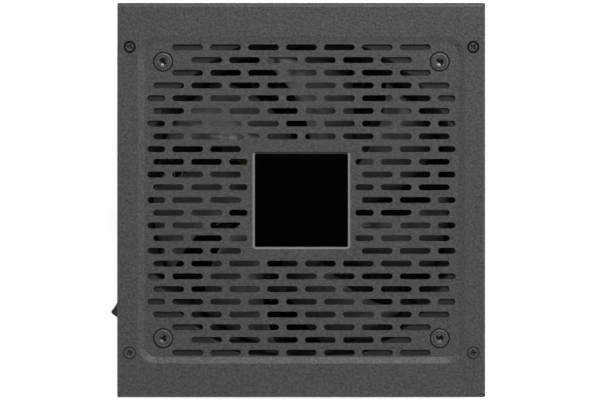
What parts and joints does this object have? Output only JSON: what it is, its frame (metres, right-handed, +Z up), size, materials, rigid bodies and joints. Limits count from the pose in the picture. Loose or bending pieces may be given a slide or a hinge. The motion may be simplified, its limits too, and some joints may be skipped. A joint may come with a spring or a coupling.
{
  "type": "power supply unit",
  "caption": "ATX desktop power supply: folded steel case, slotted fan face, honeycomb rear with mains inlet and rocker switch, modular cable sockets at the front.",
  "frame": {"origin": "middle of the case's underside", "axes": "+X from the rear (mains) wall to the front (socket) wall, +Y across the width, +Z up out of the fan face"},
  "size_m": [0.1466, 0.15, 0.086],
  "materials": {
    "powder_coat": "fine-textured matt powder coat",
    "black_screw": "black oxide",
    "plain_screw": "zinc plated",
    "badge": "gloss black with a bright bevel",
    "moulding": "fine spark-eroded texture",
    "rocker": "satin",
    "impeller": "satin moulding",
    "tinned": "tin plated",
    "contacts": "plated",
    "circuit_board": "solder mask",
    "brass": "turned",
    "film": "translucent film",
    "film_capacitor": "moulded case",
    "disc_blue": "dipped coating",
    "disc_green": "dipped coating",
    "can_sleeve": "shrunk sleeve",
    "can_metal": "drawn can",
    "ferrite": "sintered",
    "enamelled_wire": "enamelled copper",
    "winding_tape": "polyester tape",
    "package": "moulded epoxy",
    "heatsink": "extruded",
    "copper": "plain copper bar",
    "laminations": "stacked sheet",
    "shaft_steel": "ground",
    "wire_black": "insulation",
    "wire_brown": "insulation",
    "wire_earth": "insulation",
    "plug_white": "moulded nylon"
  },
  "bodies": {
    "housing": {"base_tray": "powder_coat", "top_cover": "powder_coat", "cover_screws": "black_screw", "inlet_screws": "black_screw", "fan_screws": "plain_screw", "board_screws": "plain_screw", "transistor_screws": "plain_screw", "badge_plate": "badge", "inlet_body": "moulding", "switch_housing": "moulding", "bypass_relay": "moulding", "wide_board_socket": "moulding", "narrow_board_socket": "moulding", "power_sockets": "moulding", "drive_sockets": "moulding", "graphics_socket": "moulding", "fan_frame": "moulding", "inlet_pins": "tinned", "switch_terminals": "tinned", "socket_pins": "contacts", "filter_board": "circuit_board", "main_board": "circuit_board", "control_board": "circuit_board", "converter_board": "circuit_board", "socket_board": "circuit_board", "fan_circuit_board": "circuit_board", "board_standoffs": "brass", "fan_bearing": "brass", "insulating_sheet": "film", "x_capacitors": "film_capacitor", "y_capacitors": "disc_blue", "surge_discs": "disc_green", "bulk_capacitors": "can_sleeve", "output_capacitors": "can_metal", "boost_choke_core": "ferrite", "line_choke_cores": "ferrite", "transformer_core": "ferrite", "standby_core": "ferrite", "converter_chokes": "ferrite", "boost_choke_winding": "enamelled_wire", "line_choke_windings": "enamelled_wire", "fan_coils": "enamelled_wire", "transformer_winding": "winding_tape", "standby_winding": "winding_tape", "bridge_rectifier": "package", "power_transistors": "package", "rectifier_transistors": "package", "primary_heatsink": "heatsink", "secondary_heatsink": "heatsink", "bus_bars": "copper", "fan_stator": "laminations", "fan_cable": "wire_black", "mains_wires": "wire_brown", "earth_wire": "wire_earth", "fan_header": "plug_white"},
    "fan_rotor": {"fan_impeller": "impeller", "fan_magnet_ring": "ferrite", "fan_shaft": "shaft_steel"},
    "rocker": {"switch_rocker": "rocker"}
  },
  "joints": [
    {"name": "fan_spin", "type": "hinge", "parent": "housing", "child": "fan_rotor", "pos_m": [0, 0, 0.0717], "axis": [0, 0, 1], "continuous": true},
    {"name": "rocker_tilt", "type": "hinge", "parent": "housing", "child": "rocker", "pos_m": [-0.0685, -0.038, 0.047], "axis": [0, 0, 1], "range_deg": [0, 28]}
  ]
}
